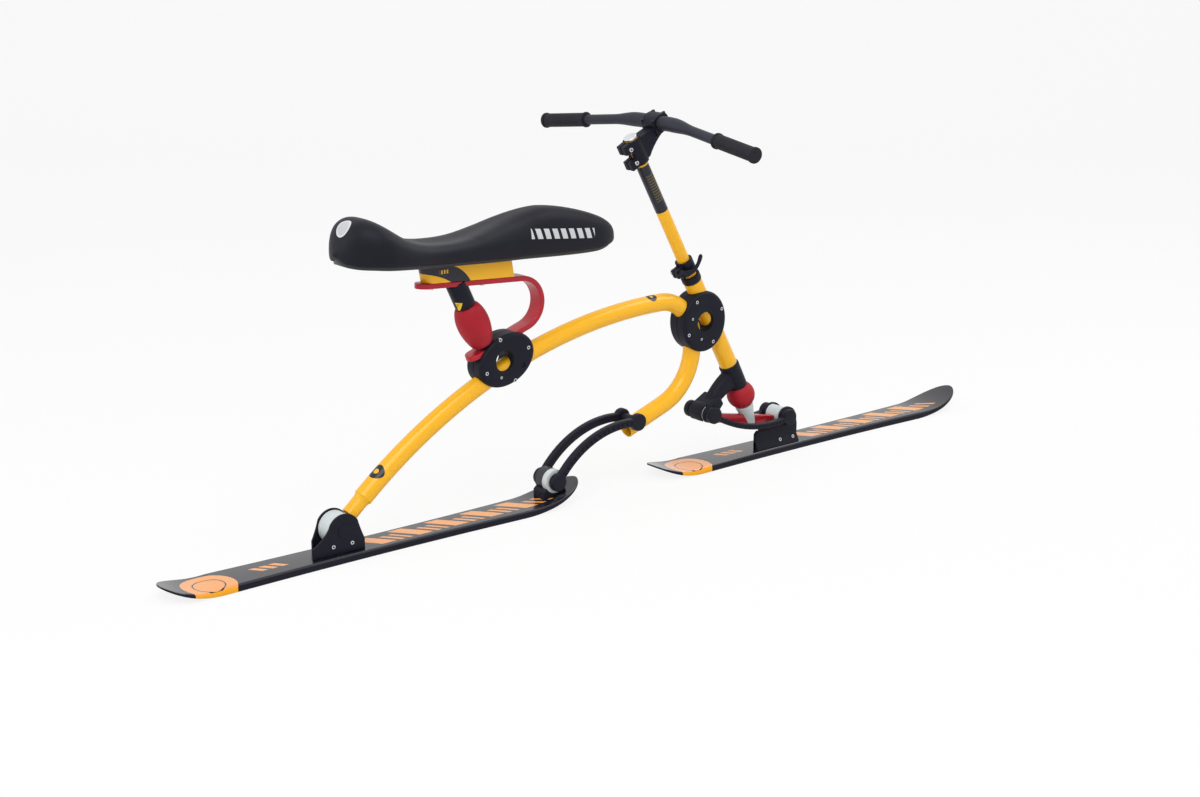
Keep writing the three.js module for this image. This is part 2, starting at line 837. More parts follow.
function clampCollar() {
  const inner = steererRadius + fit;
  const ring = turned([
    [inner, clampLow],
    [clampRadius, clampLow],
    [clampRadius, clampHigh],
    [steererBore, clampHigh],
    [steererBore, clampHigh - clampLip],
    [inner, clampHigh - clampLip],
    [inner, clampLow],
  ], tubeSides);
  const lug = block(
    [-clampRadius - clampLugBack, -lugHalf, skewerPlace.y - clampLugHeight / 2],
    [-steererRadius - clampWall / 2, lugHalf, skewerPlace.y + clampLugHeight / 2],
  );
  const slot = block(
    [-clampRadius - clampLugBack - overrun, -clampSlot / 2, clampLow - overrun],
    [-upperRadius, clampSlot / 2, clampHigh + overrun],
  );
  const bore = rodAcross(skewerRadius + fit, -lugHalf - overrun, lugHalf + overrun, skewerPlace, pinSides);
  return cut(join(ring, lug), slot, bore);
}

addSteering('clamp_collar', clampCollar(), paint.black);

const camCentre = -lugHalf - camRadius - 2 * fit;

// A cylinder along the cam's axis, which lies in the side plane, square to the lever.
function camRod(radius, length, sides = pinSides) {
  const rod = new THREE.CylinderGeometry(radius, radius, length, sides).rotateX(Math.PI / 2);
  return rod.rotateY(-leverLean * degree).translate(skewerPlace.x, camCentre, skewerPlace.y);
}

function clampSkewer() {
  const rod = rodAcross(skewerRadius, camCentre, lugHalf + skewerNutLength + fit, skewerPlace, pinSides);
  const nut = rodAcross(skewerNutRadius, lugHalf + fit, lugHalf + skewerNutLength, skewerPlace, pinSides);
  return join(rod, nut, camRod(camPinRadius, camWidth));
}

addSteering('clamp_skewer', clampSkewer(), paint.black);

// The lever lies along the clamp when shut: drawn along local X, then leaned up.
function clampLever() {
  const half = leverWidth / 2;
  const blade = new THREE.Shape();
  blade.moveTo(0, -camWidth / 2);
  blade.lineTo(camRadius, -camWidth / 2);
  blade.quadraticCurveTo(leverLength / 2, -half, leverLength - half, -half);
  blade.absarc(leverLength - half, 0, half, -Math.PI / 2, Math.PI / 2, false);
  blade.quadraticCurveTo(leverLength / 2, half, camRadius, camWidth / 2);
  blade.lineTo(0, camWidth / 2);
  const back = -camRadius;
  const handle = slab(blade, back, back + leverThickness, leverRound, leverSegments);
  const cam = new THREE.CylinderGeometry(camRadius, camRadius, camWidth, pinSides).rotateX(Math.PI / 2);
  const slot = block(
    [-camRadius - overrun, leverThickness - camRadius + fit, -skewerRadius - fit],
    [camRadius + overrun, camRadius + overrun, skewerRadius + fit],
  );
  const pinRoom = camPinRadius + fit;
  const pin = new THREE.CylinderGeometry(pinRoom, pinRoom, camWidth + overrun, pinSides);
  const turnRoom = block(
    [-camRadius - overrun, -camRadius - overrun, -skewerRadius - fit],
    [0, 0, skewerRadius + fit],
  );
  const lever = cut(join(handle, cam), slot, turnRoom, pin.rotateX(Math.PI / 2));
  return lever.rotateY(-leverLean * degree).translate(skewerPlace.x, camCentre, skewerPlace.y);
}

addSteering('clamp_lever', clampLever(), paint.black);

// Crank fork: collar on the steerer, leg back to the clevis, and a cup for the ball below.
const crankPivot = steerPoint(-crankPivotBack, -crankPivotDrop);
const ballLocal = new THREE.Vector2(-ballBack, -ballDrop);
const ballCentre = steerPoint(-ballBack, -ballDrop);
const prongOuter = barrelHalf + crankProng;
steering.updateMatrix();

// The front ski's pivot lies a link length ahead of the crank pivot, and the ski follows it.
const linkFall = crankPivot.y - frontPivotHeight;
const linkReach = Math.sqrt(linkLength ** 2 - linkFall ** 2);
const frontPivot = new THREE.Vector2(crankPivot.x + linkReach, frontPivotHeight);
const frontTail = frontPivot.x - frontPivotFromTail;
const totalLength = frontTail + skiLength - rearTail;
add('front_ski', skiGeometry(frontTail), paint.ski);

// The link bar runs below the line through its two pivots.
const linkSpan = frontPivot.clone().sub(crankPivot);
const linkHeading = Math.atan2(linkSpan.y, linkSpan.x) / degree;
const linkLow = (point, distance) => along(point, linkHeading - 90, distance);

function linkOutline(grow = 0) {
  const path = new SidePath(linkLow(crankPivot, linkDrop), linkHeading).line(linkSpan.length());
  return path.band(linkHeight / 2 + grow);
}

// The room that the link bar sweeps as the front suspension moves, in the steering group.
function linkSweep() {
  const toSteering = steering.matrix.clone().invert();
  const bar = slab(linkOutline(2 * fit), -linkWidth / 2 - 2 * fit, linkWidth / 2 + 2 * fit);
  bar.translate(-crankPivot.x, 0, -crankPivot.y);
  return Array.from({ length: sweepSteps + 1 }, (_, step) => (
    bar.clone()
      .rotateY((-step / sweepSteps) * swingTravel * degree)
      .translate(crankPivot.x, 0, crankPivot.y)
      .applyMatrix4(toSteering)
  ));
}

// The leg from the collar back to the pivot, seen from the side: one curved beam.
function crankLeg() {
  const { x: back, y: drop } = crankPivotLocal;
  const [bossTop, bossUnder] = crankBossAngles.map((angle) => angle * degree);
  const leg = new THREE.Shape();
  leg.moveTo(0, -crankDepth + crankLegRound);
  leg.lineTo(0, -crankLegTop);
  leg.quadraticCurveTo(
    back * crankBrowShare,
    -crankLegTop,
    back + crankBossRadius * Math.cos(bossTop),
    drop + crankBossRadius * Math.sin(bossTop),
  );
  leg.absarc(back, drop, crankBossRadius, bossTop, bossUnder, false);
  leg.quadraticCurveTo(back * crankBellyShare, -crankLegUnder, back * crankCrotchShare, -crankLegUnder);
  return leg;
}

// The wide end of the leg, from the boss to where the cheeks run out.
function crankCheeks() {
  const { x: back, y: drop } = crankPivotLocal;
  const end = back * crankCheekShare;
  const cheek = new THREE.Shape();
  cheek.moveTo(end, -crankLegUnder);
  cheek.lineTo(end, drop + crankBossRadius);
  cheek.lineTo(back, drop + crankBossRadius);
  cheek.absarc(back, drop, crankBossRadius, Math.PI / 2, (3 * Math.PI) / 2, false);
  return slab(cheek, -prongOuter, prongOuter, crankLegRound / 2);
}

// The ball, or with a margin the room that it needs, in the steering group.
function ballSolid(margin = 0) {
  return new THREE.SphereGeometry(ballRadius + margin, ballSides, ballSides / 2)
    .rotateX(Math.PI / 2)
    .translate(ballLocal.x, 0, ballLocal.y);
}

function crankFork() {
  const collar = turned([
    [0, -crankDepth],
    [crankCupDiameter / 2, -crankDepth],
    [crankCollarDiameter / 2, -crankTopGap],
    [0, -crankTopGap],
  ], tubeSides);
  const half = crankLegThickness / 2;
  const leg = slab(crankLeg(), -half, half, crankLegRound);
  const bore = rodUp(steererRadius + fit, -steererInsert - fit, overrun, tubeSides);
  const barrelRoom = rodAcross(barrelRadius + 2 * fit, -barrelHalf - fit, barrelHalf + fit, crankPivotLocal);
  const rearRoom = block(
    [crankPivotLocal.x - 2 * crankBossRadius, -barrelHalf - fit, crankPivotLocal.y - 2 * crankBossRadius],
    [crankPivotLocal.x, barrelHalf + fit, crankPivotLocal.y + 2 * crankBossRadius],
  );
  const prongEnd = prongOuter + overrun;
  const pivot = rodAcross(axleBore, -prongEnd, prongEnd, crankPivotLocal, pinSides);
  const whole = join(collar, leg, crankCheeks());
  return cut(whole, bore, ballSolid(fit), barrelRoom, rearRoom, pivot, ...linkSweep());
}

addSteering('crank_fork', crankFork(), paint.black);

const axleReach = frontArmInner + axleEndDepth;
add('crank_pivot_axle', rodAcross(axleRadius, -axleReach, axleReach, crankPivot, pinSides), paint.steel);

// The ball between the cup and the cone.
addSteering('front_elastomer', ballSolid(), paint.red);

// Front link: barrels at both pivots, the bar between them and the cone on the bar.
function barrel(radius, centre, bore) {
  const through = rodAcross(bore, -barrelHalf - overrun, barrelHalf + overrun, centre, pinSides);
  return cut(rodAcross(radius, -barrelHalf, barrelHalf, centre), through);
}

add('crank_pivot_barrel', barrel(barrelRadius, crankPivot, axleBore), paint.white);
add('front_pivot_barrel', barrel(barrelRadius, frontPivot, axleBore), paint.white);

const barrelCutters = [crankPivot, frontPivot].map((pivot) => (
  rodAcross(barrelRadius + fit, -barrelWidth, barrelWidth, pivot)
));
const linkSlab = slab(linkOutline(), -linkWidth / 2, linkWidth / 2, linkRound);
add('link_bar', cut(linkSlab, ...barrelCutters), paint.red);

const coneFoot = linkLow(crankPivot.clone().lerp(frontPivot, coneFootShare), coneFootBelow);
const coneAxis = ballCentre.clone().sub(coneFoot);
const coneLength = coneAxis.length() - coneRimFromBall;

function springCone() {
  const top = coneTopDiameter / 2;
  const foot = coneFootDiameter / 2;
  const cone = turned([[0, 0], [foot, 0], [top, coneLength], [0, coneLength]], tubeSides);
  cone.rotateY(Math.atan2(coneAxis.x, coneAxis.y)).translate(coneFoot.x, 0, coneFoot.y);
  const seat = ballSolid(fit).applyMatrix4(steering.matrix);
  const slot = slab(linkOutline(fit), -linkWidth / 2 - fit, linkWidth / 2 + fit);
  return cut(cone, seat, slot);
}

add('spring_cone', springCone(), paint.white);

// Arms: four of one kind, a boss at each end of a bowed bar, with a blind bore inside each boss.
function circleMeets(centre, radius, other, otherRadius, side) {
  const span = other.clone().sub(centre);
  const distance = span.length();
  const reach = (distance ** 2 + radius ** 2 - otherRadius ** 2) / (2 * distance);
  const height = Math.sqrt(radius ** 2 - reach ** 2);
  const direction = span.clone().normalize();
  const normal = new THREE.Vector2(-direction.y, direction.x);
  return centre.clone().addScaledVector(direction, reach).addScaledVector(normal, side * height);
}

function armShape(from, to, bow, thick) {
  const span = to.clone().sub(from);
  const half = span.length() / 2;
  const radius = (half ** 2 + bow ** 2) / (2 * Math.abs(bow));
  const normal = new THREE.Vector2(-span.y, span.x).normalize().multiplyScalar(Math.sign(bow));
  const middle = from.clone().add(to).multiplyScalar(0.5);
  const centre = middle.addScaledVector(normal, Math.abs(bow) - radius);
  const side = Math.sign(bow);
  const angleOf = (point, about) => Math.atan2(point.y - about.y, point.x - about.x);
  const outer = radius + thick / 2;
  const inner = radius - thick / 2;
  const fromOuter = circleMeets(from, armBossRadius, centre, outer, side);
  const toOuter = circleMeets(to, armBossRadius, centre, outer, -side);
  const toInner = circleMeets(to, armBossRadius, centre, inner, -side);
  const fromInner = circleMeets(from, armBossRadius, centre, inner, side);
  const turnsRight = side > 0;
  const shape = new THREE.Shape();
  shape.moveTo(fromOuter.x, fromOuter.y);
  shape.absarc(centre.x, centre.y, outer, angleOf(fromOuter, centre), angleOf(toOuter, centre), turnsRight);
  shape.absarc(to.x, to.y, armBossRadius, angleOf(toOuter, to), angleOf(toInner, to), turnsRight);
  shape.absarc(centre.x, centre.y, inner, angleOf(toInner, centre), angleOf(fromInner, centre), !turnsRight);
  shape.absarc(from.x, from.y, armBossRadius, angleOf(fromInner, from), angleOf(fromOuter, from), turnsRight);
  return shape;
}

function arm(from, to, bow, thick, inner, side) {
  const low = side > 0 ? inner : -inner - armThickness;
  const body = slab(armShape(from, to, bow, thick), low, low + armThickness, armEdgeRound);
  const sockets = [from, to].map((pivot) => {
    const depth = axleEndDepth + fit;
    const start = side > 0 ? inner - overrun : -inner - depth;
    return rodAcross(axleBore, start, start + depth + overrun, pivot, pinSides);
  });
  return cut(body, ...sockets);
}

const tipPivot = new THREE.Vector2(rearTail + tipPivotFromTail, tipPivotHeight);
for (const [label, side] of [['left', 1], ['right', -1]]) {
  const frontArm = arm(crankPivot, frontPivot, -frontArmBow, frontArmHeight, frontArmInner, side);
  add(`front_arm_${label}`, frontArm, paint.black);
  add(`rear_arm_${label}`, arm(tipPivot, armAxle, armBow, armHeight, armInner, side), paint.black);
}

// The bush across the open end of the main tube, with the axle that the rear arms turn on.
function armTopAxle() {
  const reach = armInner + axleEndDepth;
  const bushBody = rodAcross(armBushRadius, -barrelHalf, barrelHalf, armAxle);
  return join(bushBody, rodAcross(axleRadius, -reach, reach, armAxle, pinSides));
}

add('arm_top_axle', armTopAxle(), paint.black);

// Rear barrel on the frame's neck, and the barrel on the tip of the rear ski.
add('rear_pivot_barrel', barrel(rearBarrelRadius, rearPivot, axleBore), paint.white);
add('tip_barrel', barrel(tipBarrelRadius, tipPivot, axleRadius + tipBushPlay), paint.white);
const tipReach = armInner + axleEndDepth;
add('arm_tip_pin', rodAcross(axleRadius, -tipReach, tipReach, tipPivot, pinSides), paint.steel);

function tipFoot() {
  const low = tipPivot.x - tipFootBack;
  const high = low + tipFootLength;
  const sole = Array.from({ length: soleSteps + 1 }, (_, step) => {
    const x = low + (tipFootLength * step) / soleSteps;
    const { base, thickness } = skiProfile(x - rearTail);
    return [x, base + thickness + 2 * fit];
  });
  const outline = polygon([
    ...sole,
    [high, tipPivotHeight - tipFootHeight],
    [high - tipFootInset, tipPivotHeight - tipFootHeight / 2],
    [low + tipFootInset, tipPivotHeight - tipFootHeight / 2],
    [low, tipPivotHeight - tipFootHeight],
  ]);
  const body = slab(outline, -barrelHalf, barrelHalf);
  const room = rodAcross(tipBarrelRadius + fit, -barrelWidth, barrelWidth, tipPivot);
  return cut(body, room);
}

add('tip_foot', tipFoot(), paint.black);

// Ski brackets: two plates, a base between them and the axle. The right plate reaches further back.
const skiTop = skiThickness + fit;
const plateInner = barrelHalf + fit;

// A wedge along the outer foot of a plate.
function wedgeFoot(low, high) {
  const profile = polygon([
    [plateInner, skiTop],
    [plateInner + footWidth, skiTop],
    [plateInner + footWidth, skiTop + footToe],
    [plateInner + footWidth * footTopShare, skiTop + footHeight],
    [plateInner, skiTop + footHeight],
  ]);
  const foot = new THREE.ExtrudeGeometry(profile, { depth: high - low, bevelEnabled: false });
  return foot.rotateX(Math.PI / 2).rotateZ(Math.PI / 2).translate(low, 0, 0);
}

// Rings cut into the outer face leave the round screw heads standing.
function screwRings(places, face) {
  return places.map((x) => {
    const [low, high] = [face - screwPocketDepth, face + overrun];
    const ring = sleeve(screwPocketRadius, screwHeadRadius, low, high, screwSides);
    return ring.rotateX(-Math.PI / 2).translate(x, 0, skiTop + screwRise);
  });
}

// Drawn as a left plate; its mirror image stands on the right.
function bracketPlate(outline, thickness, pivot, boreDepth, screws) {
  const plate = slab(outline, plateInner, plateInner + thickness, bracketRound);
  const bore = rodAcross(axleBore, plateInner - overrun, plateInner + boreDepth, pivot, pinSides);
  return cut(plate, bore, ...screwRings(screws, plateInner + thickness));
}

function basePad(low, high) {
  return block([low, -barrelHalf, skiTop], [high, barrelHalf, skiTop + bracketPad]);
}

// Rear plates: a round lobe with sloping shoulders.
const rearEnd = rearPivot.x + rearBaseAhead;
const rearScrews = rearScrewShares.map((share) => rearPivot.x + share * rearLobeRadius);

function rearOutline(start) {
  const shape = new THREE.Shape();
  const [from, to] = rearLobeAngles.map((angle) => angle * degree);
  const lobe = (angle) => [
    rearPivot.x + rearLobeRadius * Math.cos(angle),
    rearPivot.y + rearLobeRadius * Math.sin(angle),
  ];
  shape.moveTo(start, skiTop);
  shape.lineTo(rearEnd, skiTop);
  shape.lineTo(rearEnd, skiTop + rearSideHeight);
  shape.quadraticCurveTo(rearPivot.x + rearLobeRadius, rearPivot.y, ...lobe(from));
  shape.absarc(rearPivot.x, rearPivot.y, rearLobeRadius, from, to, false);
  const backWaist = Math.max(start, rearPivot.x - rearLobeRadius);
  shape.quadraticCurveTo(backWaist, rearPivot.y, start, skiTop + rearSideHeight);
  return shape;
}

// Front plates: a long foot with a raised lobe over its front half.
const frontEnd = frontPivot.x + frontBaseAhead;
const frontScrews = frontScrewShares.map((share) => frontPivot.x + share * frontLobeRadius);

function frontOutline(start) {
  const shape = new THREE.Shape();
  const lobeX = frontPivot.x + frontLobeAhead;
  const lobeZ = frontPivot.y - frontLobeBelow;
  const shoulder = skiTop + frontShoulderHeight;
  const [from, to] = frontLobeAngles.map((angle) => angle * degree);
  shape.moveTo(start, skiTop);
  shape.lineTo(frontEnd, skiTop);
  shape.lineTo(frontEnd, skiTop + frontSideHeight);
  shape.absarc(lobeX, lobeZ, frontLobeRadius, from, to, false);
  const bendEnd = Math.max(start + frontCorner, lobeX - 2 * frontLobeRadius);
  shape.quadraticCurveTo(lobeX - frontLobeRadius, shoulder, bendEnd, shoulder);
  shape.lineTo(start + frontCorner, shoulder);
  shape.lineTo(start, shoulder - frontCorner);
  return shape;
}

const bracketSides = [
  ['left', 1, rearBaseBackLeft, frontBaseBackLeft],
  ['right', -1, rearBaseBackRight, frontBaseBackRight],
];
for (const [label, side, rearBack, frontBack] of bracketSides) {
  const rearStart = rearPivot.x - rearBack;
  const rear = bracketPlate(
    rearOutline(rearStart),
    rearPlateThickness,
    rearPivot,
    rearPlateThickness / 2,
    rearScrews,
  );
  const frontStart = frontPivot.x - frontBack;
  const front = bracketPlate(
    frontOutline(frontStart),
    frontPlateThickness,
    frontPivot,
    frontPlateThickness + overrun,
    [],
  );
  const foot = cut(wedgeFoot(frontStart, frontEnd), ...screwRings(frontScrews, plateInner + footWidth));
  add(`rear_bracket_${label}`, rear, paint.black).scale.y = side;
  add(`front_bracket_${label}`, join(front, foot), paint.black).scale.y = side;
}
add('rear_bracket_base', basePad(rearPivot.x - rearBaseBackLeft, rearEnd), paint.black);
add('front_bracket_base', basePad(frontPivot.x - frontBaseBackLeft, frontEnd), paint.black);
const rearAxleReach = barrelHalf + rearPlateThickness / 2;
const rearAxle = rodAcross(axleRadius, -rearAxleReach, rearAxleReach, rearPivot, pinSides);
add('rear_pivot_axle', rearAxle, paint.steel);
add('front_pivot_axle', rodAcross(axleRadius, -axleReach, axleReach, frontPivot, pinSides), paint.steel);

// A bar's outline from above, with a round rear end, as tall as the bike.
function roundedRear(rear, front, halfWidth) {
  const shape = new THREE.Shape();
  shape.moveTo(front, -halfWidth);
  shape.lineTo(front, halfWidth);
  shape.lineTo(rear + halfWidth, halfWidth);
  shape.absarc(rear + halfWidth, 0, halfWidth, Math.PI / 2, (3 * Math.PI) / 2, false);
  return new THREE.ExtrudeGeometry(cleaned(shape, outlineSides), { depth: totalLength, bevelEnabled: false });
}

// Seat spring, with holes for the two bolts of the seat box.
const plateEnd = leafPath.end.point;
const plateHeading = leafPath.end.heading / degree;
const platePoint = (inset, above) => (
  along(along(plateEnd, plateHeading + 180, inset), plateHeading - 90, above)
);
const boltPlaces = [0, seatBoltSpacing].map((spacing) => seatBoxInset + seatBoltInset + spacing);
const boltHole = (inset) => rodBetween(
  seatBoltRadius + fit,
  platePoint(inset, -leafThickness),
  platePoint(inset, leafThickness / 2 + seatBoltDepth + fit),
  pinSides,
);
const leafBar = slab(leafPath.band(leafThickness / 2), -leafWidth / 2, leafWidth / 2, leafEdge);
const leafPlan = roundedRear(plateEnd.x, totalLength, leafWidth / 2 + pointGap);
add('leaf_spring', cut(common(leafBar, leafPlan), ...boltPlaces.map(boltHole)), paint.red);

// Seat post, held under the plate, and the rubber spring between it and the rear hub.
const postTop = platePoint(seatPostFromPlateEnd, -leafThickness / 2);
const postFoot = along(postTop, seatPostLean - 90, seatPostLength);
const overPlate = (margin) => slab(polygon([
  platePoint(-seatBoxInset, -leafThickness / 2 - margin).toArray(),
  platePoint(-seatBoxInset, seatBoxHeight).toArray(),
  platePoint(seatPlateLength, seatBoxHeight).toArray(),
  platePoint(seatPlateLength, -leafThickness / 2 - margin).toArray(),
]), -seatBoxWidth, seatBoxWidth);
const postHead = along(postTop, seatPostLean + 90, seatPostRadius);
const postBody = rodBetween(seatPostRadius, postHead, postFoot, tubeSides);
add('seat_post', cut(postBody, overPlate(fit)), paint.black);

function seatRubber() {
  const profile = [[0, 0]];
  for (let step = 0; step <= swellSteps; step += 1) {
    const share = step / swellSteps;
    const swell = Math.sin(Math.PI * share) ** seatRubberSwellShare;
    const radius = seatRubberEndRadius + (seatRubberRadius - seatRubberEndRadius) * swell;
    profile.push([radius, seatRubberLength * share]);
  }
  profile.push([0, seatRubberLength]);
  const rubber = turned(profile, tubeSides);
  const top = along(postFoot, seatPostLean - 90, fit);
  rubber.rotateY((180 - seatPostLean) * degree).translate(top.x, 0, top.y);
  const hubRoom = hubOutline(rearHub, rearHubLength, rearHubHeight, rearHubTilt, fit);
  const leafRoom = leafPath.band(leafThickness / 2 + fit, 0, 2);
  return cut(
    rubber,
    slab(hubRoom, -hubThickness, hubThickness, 0, hubOutlineSides),
    slab(leafRoom, -leafWidth / 2 - fit, leafWidth / 2 + fit),
  );
}

add('seat_elastomer', seatRubber(), paint.red);

// Seat box on the plate, leaning back a little.
const boxLow = leafThickness / 2 + fit;
const boxHigh = boxLow + seatBoxHeight;
const boxOutline = polygon([
  platePoint(seatBoxInset + seatBoxLength, boxLow).toArray(),
  platePoint(seatBoxInset + seatBoxLength - seatBoxLean, boxHigh).toArray(),
  platePoint(seatBoxInset - seatBoxLean, boxHigh).toArray(),
  platePoint(seatBoxInset, boxLow).toArray(),
]);
const boxBody = slab(boxOutline, -seatBoxWidth / 2, seatBoxWidth / 2, seatBoxRound);
const boxRear = platePoint(seatBoxInset - seatBoxLean, boxHigh).x;
const boxPlan = roundedRear(boxRear, totalLength, seatBoxWidth / 2 + pointGap);
add('seat_box', cut(common(boxBody, boxPlan), ...boltPlaces.map(boltHole)), paint.yellow);

boltPlaces.forEach((inset, index) => {
  const shank = rodBetween(
    seatBoltRadius,
    platePoint(inset, -leafThickness / 2 - seatBoltHeadLength / 2),
    platePoint(inset, leafThickness / 2 + seatBoltDepth),
    pinSides,
  );
  const head = rodBetween(
    seatBoltHeadRadius,
    platePoint(inset, -leafThickness / 2 - fit - seatBoltHeadLength),
    platePoint(inset, -leafThickness / 2 - fit),
    pinSides,
  );
  add(`seat_bolt_${index ? 'front' : 'rear'}`, join(shank, head), paint.steel);
});

// Saddle: heights above the seat box and half widths, as shares along it from the rear.
const seatTopShares = [
  [0, 0.45], [0.026, 0.765], [0.051, 0.875], [0.085, 0.9], [0.122, 0.82], [0.2, 0.56], [0.277, 0.44],
  [0.35, 0.42], [0.42, 0.45], [0.5, 0.54], [0.58, 0.645], [0.66, 0.71], [0.73, 0.69], [0.84, 0.545],
  [0.933, 0.37], [0.98, 0.215], [1, 0.13],
];
const seatUnderShares = [
  [0, 0.16], [0.012, 0.07], [0.08, 0.05], [0.177, 0.03], [0.275, 0.006], [0.5, 0], [0.62, 0.01],
  [0.785, 0.015], [0.905, 0.035], [0.97, 0.09], [1, 0.12],
];
const seatHalfShares = [
  [0, 0.97], [0.1, 1], [0.18, 0.95], [0.3, 0.75], [0.42, 0.68], [0.6, 0.62], [0.8, 0.56], [0.92, 0.5],
  [1, 0.46],
];
const saddleRear = platePoint(-seatRearOverhang, boxHigh);
const saddleLevel = platePoint(seatBoxInset + seatBoxLength / 2, boxHigh + fit).y;
const underAt = (share) => {
  const onBox = platePoint(share * seatLength - seatRearOverhang, boxHigh + fit).y;
  return onBox + seatHeight * smooth(seatUnderShares, share);
};

// Sections of the saddle between two heights at each station.
function saddleRings(section) {
  const rings = [];
  for (let station = 0; station <= saddleStations; station += 1) {
    const share = (1 - Math.cos((Math.PI * station) / saddleStations)) / 2;
    const distance = share * seatLength;
    const ends = roundEnd(distance, seatTailRound, seatEndFlat)
      * roundEnd(seatLength - distance, seatNoseRound, seatEndFlat);
    const half = (seatWidth / 2) * smooth(seatHalfShares, share) * ends;
    const under = underAt(share);
    const top = saddleLevel + seatHeight * smooth(seatTopShares, share);
    const x = saddleRear.x + distance;
    rings.push(section(half, under, top).map(([y, z]) => new THREE.Vector3(x, y, z)));
  }
  return rings;
}

// A flat bottom, sides that draw in towards it, and a crowned top.
function padSection(half, under, top) {
  const bottom = under + seatBaseThickness + fit;
  const height = top - bottom;
  const draw = Math.min(seatBottomDraw, half / 3);
  const points = [];
  for (let step = 0; step <= crownSteps; step += 1) {
    const angle = (Math.PI * step) / crownSteps;
    const cosine = Math.cos(angle);
    const rise = Math.sin(angle) ** seatCrownShare;
    const y = half * Math.sign(cosine) * Math.abs(cosine) ** seatSquareShare;
    points.push([y, bottom + height * (seatSideShare + (1 - seatSideShare) * rise)]);
  }
  points.push([-half + draw, bottom], [half - draw, bottom]);
  return points;
}

function baseSection(half, under) {
  const inset = Math.min(seatBaseInset + seatBottomDraw, half / 2);
  const side = half - inset;
  return [
    [side, under],
    [side, under + seatBaseThickness],
    [-side, under + seatBaseThickness],
    [-side, under],
  ];
}

add('seat_base', loft(saddleRings(baseSection)), paint.black);
add('seat_pad', loft(saddleRings(padSection)), paint.vinyl);

// Stem on the upper tube, with its cap, plate and bolts.
const stemRadius = upperRadius + stemWall;
const barLocal = new THREE.Vector2(stemExtension, stemFoot + stemRise);
const stemBolts = [stemFoot + stemBoltInset, stemTop - stemBoltInset];
const stemBoltBack = upperRadius + stemBoltRadius + 2 * fit + stemBoltHeadRadius / 2;

function stemBody() {
  const ring = rodUp(stemRadius, stemFoot, stemTop);
  const arm = new THREE.Shape();
  const headLow = barLocal.y - stemHeadDepth;
  const headBack = barLocal.x - stemHeadLength / 2;
  const headFront = barLocal.x + stemHeadLength / 2;
  arm.moveTo(0, stemFoot + stemRound);
  arm.lineTo(stemRadius, stemFoot + stemRound);
  arm.quadraticCurveTo(headBack, headLow - stemRound, headFront - stemRound, headLow);
  arm.lineTo(headFront, headLow + stemRound);
  arm.lineTo(headFront, barLocal.y - fit);
  arm.lineTo(headBack, barLocal.y - fit);
  arm.quadraticCurveTo(stemRadius, stemTop - stemRound, 0, stemTop - stemRound);
  const neckPart = slab(arm, -stemArmWidth / 2, stemArmWidth / 2, stemArmRound);
  const head = block(
    [headBack, -stemHeadWidth / 2, headLow],
    [headFront, stemHeadWidth / 2, barLocal.y - fit],
  );
  const lug = block(
    [-stemLugBack, -stemLugWidth / 2, stemFoot],
    [0, stemLugWidth / 2, stemTop],
  );
  const slot = block(
    [-stemLugBack - overrun, -stemSlot / 2, stemFoot - overrun],
    [0, stemSlot / 2, stemTop + overrun],
  );
  const bore = rodUp(upperRadius + fit, stemFoot - overrun, stemTop + overrun, tubeSides);
  const barRoom = rodAcross(barClampDiameter / 2 + fit, -stemHeadWidth, stemHeadWidth, barLocal, tubeSides);
  const boltRooms = stemBolts.map((up) => {
    const place = new THREE.Vector2(-stemBoltBack, up);
    return rodAcross(stemBoltRadius + fit, -stemLugWidth, stemLugWidth, place, pinSides);
  });
  return cut(join(ring, neckPart, head, lug), slot, bore, barRoom, ...boltRooms);
}

addSteering('stem_body', stemBody(), paint.black);

function stemPlate() {
  const headBack = barLocal.x - stemHeadLength / 2;
  const headFront = barLocal.x + stemHeadLength / 2;
  const low = barLocal.y + fit;
  const high = barLocal.y + stemPlateHeight;
  const shape = new THREE.Shape();
  shape.moveTo(headBack, low);
  shape.lineTo(headFront, low);
  shape.lineTo(headFront, low + stemRound);
  shape.quadraticCurveTo(headFront, high, barLocal.x, high);
  shape.quadraticCurveTo(headBack, high, headBack, low + stemRound);
  const barRoom = rodAcross(barClampDiameter / 2 + fit, -stemHeadWidth, stemHeadWidth, barLocal, tubeSides);
  const heads = [-1, 1].flatMap((fore) => [-1, 1].map((across) => {
    const x = barLocal.x + fore * (stemHeadLength / 2 - stemBoltHeadRadius);
    const y = across * (stemHeadWidth / 2 - stemBoltHeadRadius);
    return rodUp(stemBoltHeadRadius - fit, low, high - stemRound / 2, screwSides).translate(x, y, 0);
  }));
  const cap = slab(shape, -stemHeadWidth / 2, stemHeadWidth / 2);
  return cut(join(cap, ...heads), barRoom);
}

addSteering('stem_faceplate', stemPlate(), paint.black);

const capLow = stemTop + fit;
addSteering('stem_cap', turned([
  [0, capLow],
  [stemCapRadius, capLow],
  [stemCapRadius, capLow + stemCapThickness - stemCapRound],
  [stemCapRadius - stemCapRound, capLow + stemCapThickness],
  [0, capLow + stemCapThickness],
], tubeSides), paint.steel);

stemBolts.forEach((up, index) => {
  const place = new THREE.Vector2(-stemBoltBack, up);
  const face = stemLugWidth / 2 + fit;
  const shank = rodAcross(stemBoltRadius, -face - stemBoltHeadLength / 2, face - 2 * fit, place, pinSides);
  const head = rodAcross(stemBoltHeadRadius, -face - stemBoltHeadLength, -face, place, pinSides);
  addSteering(`stem_bolt_${index ? 'upper' : 'lower'}`, join(shank, head), paint.steel);
});

// Handlebar: straight in the clamp, then swept back and down to both ends.
const barCentre = steerPoint(barLocal.x, barLocal.y);
const barHalf = barWidth / 2;

